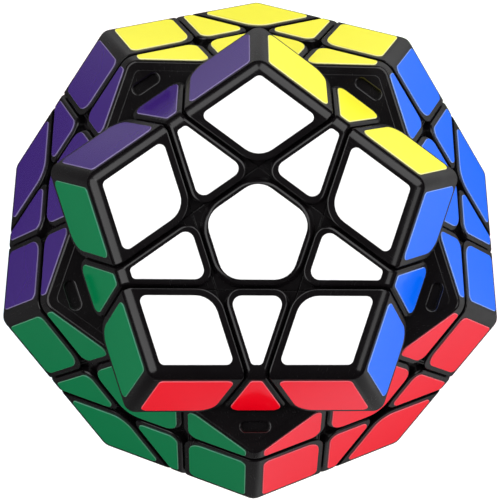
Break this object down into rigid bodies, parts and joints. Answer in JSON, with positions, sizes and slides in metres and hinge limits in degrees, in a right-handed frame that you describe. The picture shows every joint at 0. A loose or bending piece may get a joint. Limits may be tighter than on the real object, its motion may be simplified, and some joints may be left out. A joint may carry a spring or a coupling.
{
  "type": "dodecahedron twisty puzzle",
  "caption": "Hand-held dodecahedron twisty puzzle with coloured stickers on black plastic; each face is a layer that turns about a sprung core, with the front layer shown part-turned.",
  "frame": {"origin": "centre of the core ball, where all twelve turning axes meet, and the centre of the bounding box", "axes": "+Z along the axis of the part-turned white layer, away from the core; the gray face it rests on is at -Z; +Y passes through the ridge side of the yellow face"},
  "size_m": [0.09, 0.0946, 0.078],
  "materials": {
    "black_plastic": "satin moulded ABS",
    "steel": "zinc-plated screw",
    "spring_steel": "bright drawn wire",
    "white_sticker": "glossy vinyl sticker",
    "yellow_sticker": "glossy vinyl sticker",
    "blue_sticker": "glossy vinyl sticker",
    "red_sticker": "glossy vinyl sticker",
    "green_sticker": "glossy vinyl sticker",
    "purple_sticker": "glossy vinyl sticker",
    "beige_sticker": "glossy vinyl sticker",
    "lightblue_sticker": "glossy vinyl sticker",
    "orange_sticker": "glossy vinyl sticker",
    "lime_sticker": "glossy vinyl sticker",
    "pink_sticker": "glossy vinyl sticker",
    "gray_sticker": "glossy vinyl sticker"
  },
  "bodies": {
    "body_frame": {"core_frame": "black_plastic", "front_screw": "steel", "front_spring": "spring_steel", "edge_yellow_blue": "black_plastic", "edge_yellow_purple": "black_plastic", "edge_blue_red": "black_plastic", "edge_red_green": "black_plastic", "edge_green_purple": "black_plastic"},
    "white_layer": {"centre_white": "black_plastic", "edge_white_yellow": "black_plastic", "edge_white_blue": "black_plastic", "edge_white_red": "black_plastic", "edge_white_green": "black_plastic", "edge_white_purple": "black_plastic", "corner_white_yellow_blue": "black_plastic", "corner_white_yellow_purple": "black_plastic", "corner_white_blue_red": "black_plastic", "corner_white_red_green": "black_plastic", "corner_white_green_purple": "black_plastic"},
    "lime_layer": {"centre_lime": "black_plastic", "edge_yellow_lime": "black_plastic", "edge_blue_lime": "black_plastic", "corner_yellow_blue_lime": "black_plastic"},
    "orange_layer": {"centre_orange": "black_plastic", "edge_yellow_orange": "black_plastic", "edge_purple_orange": "black_plastic", "corner_yellow_purple_orange": "black_plastic"},
    "lightblue_layer": {"centre_lightblue": "black_plastic", "edge_green_lightblue": "black_plastic", "edge_purple_lightblue": "black_plastic", "corner_green_purple_lightblue": "black_plastic"},
    "beige_layer": {"centre_beige": "black_plastic", "edge_red_beige": "black_plastic", "edge_green_beige": "black_plastic", "corner_red_green_beige": "black_plastic"},
    "pink_layer": {"centre_pink": "black_plastic", "edge_blue_pink": "black_plastic", "edge_red_pink": "black_plastic", "corner_blue_red_pink": "black_plastic"},
    "gray_layer": {"centre_gray": "black_plastic"},
    "lime_orange_side": {"edge_orange_lime": "black_plastic", "corner_yellow_orange_lime": "black_plastic"},
    "gray_lime_edge": {"edge_lime_gray": "black_plastic"},
    "orange_lightblue_side": {"edge_lightblue_orange": "black_plastic", "corner_purple_lightblue_orange": "black_plastic"},
    "gray_orange_edge": {"edge_orange_gray": "black_plastic"},
    "lightblue_beige_side": {"edge_beige_lightblue": "black_plastic", "corner_green_beige_lightblue": "black_plastic"},
    "gray_lightblue_edge": {"edge_lightblue_gray": "black_plastic"},
    "beige_pink_side": {"edge_beige_pink": "black_plastic", "corner_red_beige_pink": "black_plastic"},
    "gray_beige_edge": {"edge_beige_gray": "black_plastic"},
    "pink_lime_side": {"edge_lime_pink": "black_plastic", "corner_blue_lime_pink": "black_plastic"},
    "gray_pink_edge": {"edge_pink_gray": "black_plastic"},
    "gray_lime_orange_corner": {"corner_orange_lime_gray": "black_plastic"},
    "gray_orange_lightblue_corner": {"corner_lightblue_orange_gray": "black_plastic"},
    "gray_lightblue_beige_corner": {"corner_beige_lightblue_gray": "black_plastic"},
    "gray_beige_pink_corner": {"corner_beige_pink_gray": "black_plastic"},
    "gray_pink_lime_corner": {"corner_lime_pink_gray": "black_plastic"}
  },
  "joints": [
    {"name": "white_turn", "type": "hinge", "parent": "body_frame", "child": "white_layer", "pos_m": [0, 0, 0], "axis": [0, 0, 1], "continuous": true},
    {"name": "lime_turn", "type": "hinge", "parent": "body_frame", "child": "lime_layer", "pos_m": [0, 0, 0], "axis": [0.5257, 0.7236, -0.4472], "range_deg": [-360, 360]},
    {"name": "orange_turn", "type": "hinge", "parent": "body_frame", "child": "orange_layer", "pos_m": [0, 0, 0], "axis": [-0.5257, 0.7236, -0.4472], "continuous": true},
    {"name": "lightblue_turn", "type": "hinge", "parent": "body_frame", "child": "lightblue_layer", "pos_m": [0, 0, 0], "axis": [-0.8507, -0.2764, -0.4472], "range_deg": [-360, 360]},
    {"name": "beige_turn", "type": "hinge", "parent": "body_frame", "child": "beige_layer", "pos_m": [0, 0, 0], "axis": [0, -0.8944, -0.4472], "continuous": true},
    {"name": "pink_turn", "type": "hinge", "parent": "body_frame", "child": "pink_layer", "pos_m": [0, 0, 0], "axis": [0.8507, -0.2764, -0.4472], "range_deg": [-360, 360]},
    {"name": "gray_turn", "type": "hinge", "parent": "body_frame", "child": "gray_layer", "pos_m": [0, 0, 0], "axis": [0, 0, -1], "range_deg": [-360, 360]},
    {"name": "lime_orange_side_turn", "type": "hinge", "parent": "lime_layer", "child": "lime_orange_side", "pos_m": [0, 0, 0], "axis": [-0.5257, 0.7236, -0.4472], "continuous": true},
    {"name": "gray_lime_edge_turn", "type": "hinge", "parent": "gray_layer", "child": "gray_lime_edge", "pos_m": [0, 0, 0], "axis": [0.5257, 0.7236, -0.4472], "range_deg": [-360, 360]},
    {"name": "orange_lightblue_side_turn", "type": "hinge", "parent": "orange_layer", "child": "orange_lightblue_side", "pos_m": [0, 0, 0], "axis": [-0.8507, -0.2764, -0.4472], "range_deg": [-360, 360]},
    {"name": "gray_orange_edge_turn", "type": "hinge", "parent": "gray_layer", "child": "gray_orange_edge", "pos_m": [0, 0, 0], "axis": [-0.5257, 0.7236, -0.4472], "continuous": true},
    {"name": "lightblue_beige_side_turn", "type": "hinge", "parent": "lightblue_layer", "child": "lightblue_beige_side", "pos_m": [0, 0, 0], "axis": [0, -0.8944, -0.4472], "continuous": true},
    {"name": "gray_lightblue_edge_turn", "type": "hinge", "parent": "gray_layer", "child": "gray_lightblue_edge", "pos_m": [0, 0, 0], "axis": [-0.8507, -0.2764, -0.4472], "range_deg": [-360, 360]},
    {"name": "beige_pink_side_turn", "type": "hinge", "parent": "beige_layer", "child": "beige_pink_side", "pos_m": [0, 0, 0], "axis": [0.8507, -0.2764, -0.4472], "range_deg": [-360, 360]},
    {"name": "gray_beige_edge_turn", "type": "hinge", "parent": "gray_layer", "child": "gray_beige_edge", "pos_m": [0, 0, 0], "axis": [0, -0.8944, -0.4472], "continuous": true},
    {"name": "pink_lime_side_turn", "type": "hinge", "parent": "pink_layer", "child": "pink_lime_side", "pos_m": [0, 0, 0], "axis": [0.5257, 0.7236, -0.4472], "range_deg": [-360, 360]},
    {"name": "gray_pink_edge_turn", "type": "hinge", "parent": "gray_layer", "child": "gray_pink_edge", "pos_m": [0, 0, 0], "axis": [0.8507, -0.2764, -0.4472], "range_deg": [-360, 360]},
    {"name": "gray_lime_orange_corner_turn", "type": "hinge", "parent": "gray_lime_edge", "child": "gray_lime_orange_corner", "pos_m": [0, 0, 0], "axis": [-0.5257, 0.7236, -0.4472], "continuous": true},
    {"name": "gray_orange_lightblue_corner_turn", "type": "hinge", "parent": "gray_orange_edge", "child": "gray_orange_lightblue_corner", "pos_m": [0, 0, 0], "axis": [-0.8507, -0.2764, -0.4472], "range_deg": [-360, 360]},
    {"name": "gray_lightblue_beige_corner_turn", "type": "hinge", "parent": "gray_lightblue_edge", "child": "gray_lightblue_beige_corner", "pos_m": [0, 0, 0], "axis": [0, -0.8944, -0.4472], "continuous": true},
    {"name": "gray_beige_pink_corner_turn", "type": "hinge", "parent": "gray_beige_edge", "child": "gray_beige_pink_corner", "pos_m": [0, 0, 0], "axis": [0.8507, -0.2764, -0.4472], "range_deg": [-360, 360]},
    {"name": "gray_pink_lime_corner_turn", "type": "hinge", "parent": "gray_pink_edge", "child": "gray_pink_lime_corner", "pos_m": [0, 0, 0], "axis": [0.5257, 0.7236, -0.4472], "range_deg": [-360, 360]}
  ],
  "couplings": [
    {"joint": "lime_orange_side_turn", "follows": "orange_turn", "ratio": 1},
    {"joint": "gray_lime_edge_turn", "follows": "lime_turn", "ratio": 1},
    {"joint": "orange_lightblue_side_turn", "follows": "lightblue_turn", "ratio": 1},
    {"joint": "gray_orange_edge_turn", "follows": "orange_turn", "ratio": 1},
    {"joint": "lightblue_beige_side_turn", "follows": "beige_turn", "ratio": 1},
    {"joint": "gray_lightblue_edge_turn", "follows": "lightblue_turn", "ratio": 1},
    {"joint": "beige_pink_side_turn", "follows": "pink_turn", "ratio": 1},
    {"joint": "gray_beige_edge_turn", "follows": "beige_turn", "ratio": 1},
    {"joint": "pink_lime_side_turn", "follows": "lime_turn", "ratio": 1},
    {"joint": "gray_pink_edge_turn", "follows": "pink_turn", "ratio": 1},
    {"joint": "gray_lime_orange_corner_turn", "follows": "orange_turn", "ratio": 1},
    {"joint": "gray_orange_lightblue_corner_turn", "follows": "lightblue_turn", "ratio": 1},
    {"joint": "gray_lightblue_beige_corner_turn", "follows": "beige_turn", "ratio": 1},
    {"joint": "gray_beige_pink_corner_turn", "follows": "pink_turn", "ratio": 1},
    {"joint": "gray_pink_lime_corner_turn", "follows": "lime_turn", "ratio": 1}
  ]
}
